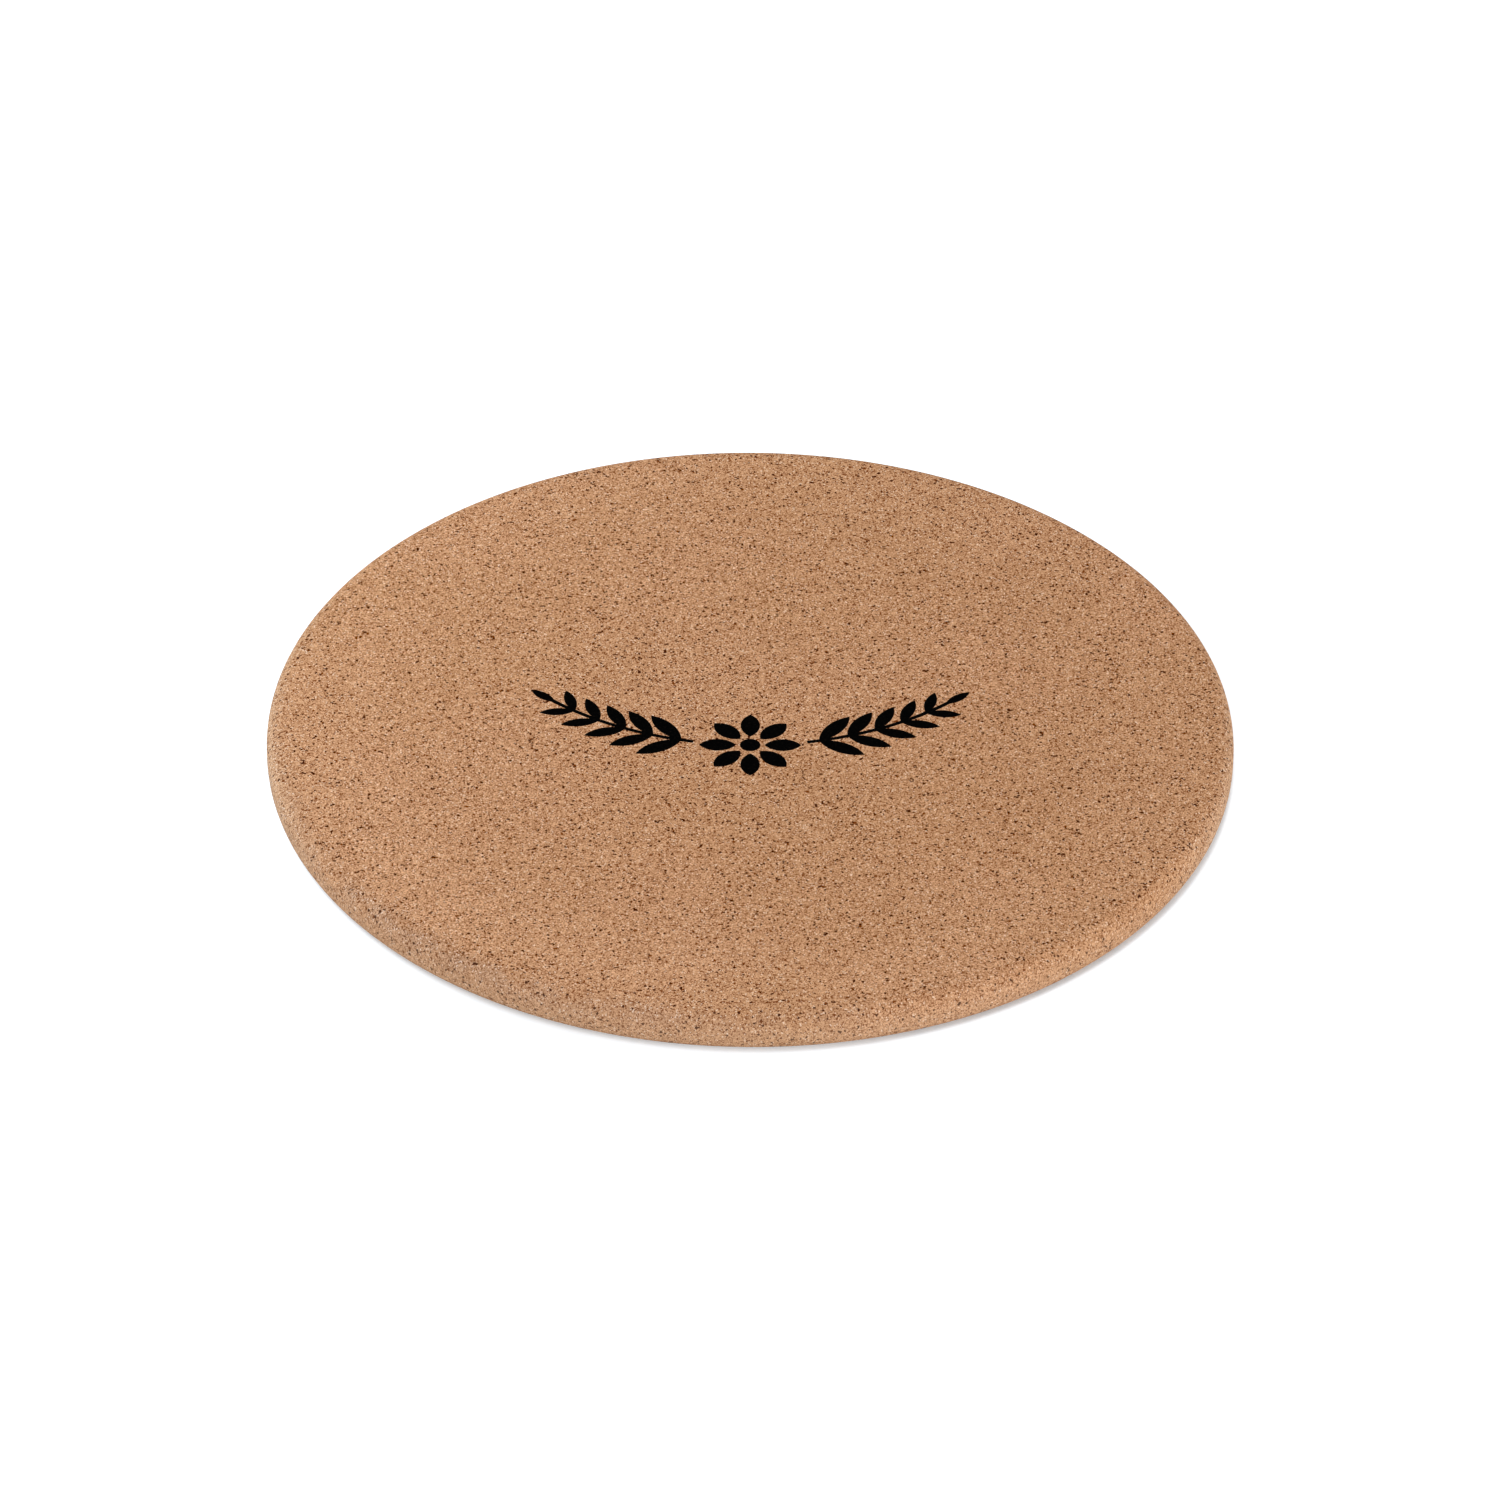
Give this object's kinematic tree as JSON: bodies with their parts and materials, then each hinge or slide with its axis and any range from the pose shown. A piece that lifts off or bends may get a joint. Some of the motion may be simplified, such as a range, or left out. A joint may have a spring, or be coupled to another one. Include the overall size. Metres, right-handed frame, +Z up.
{
  "type": "round cork trivet",
  "caption": "Thin round cork disc with softly rounded edges that stands under a hot pot, with a small black leaf spray printed flush on its top face.",
  "frame": {"origin": "middle of the flat underside, on the surface that the trivet lies on", "axes": "+Z up through the thickness, along the axis of the disc; +X to the right and -Y towards the user, along and below the printed spray"},
  "size_m": [0.19, 0.19, 0.008],
  "materials": {
    "cork": "matte pressed cork granules, uncoated",
    "print_ink": "flat black screen-printing ink"
  },
  "bodies": {
    "root": {"cork_disc": "cork", "ink_flower": "print_ink", "ink_left_sprig": "print_ink", "ink_right_sprig": "print_ink"}
  },
  "joints": []
}
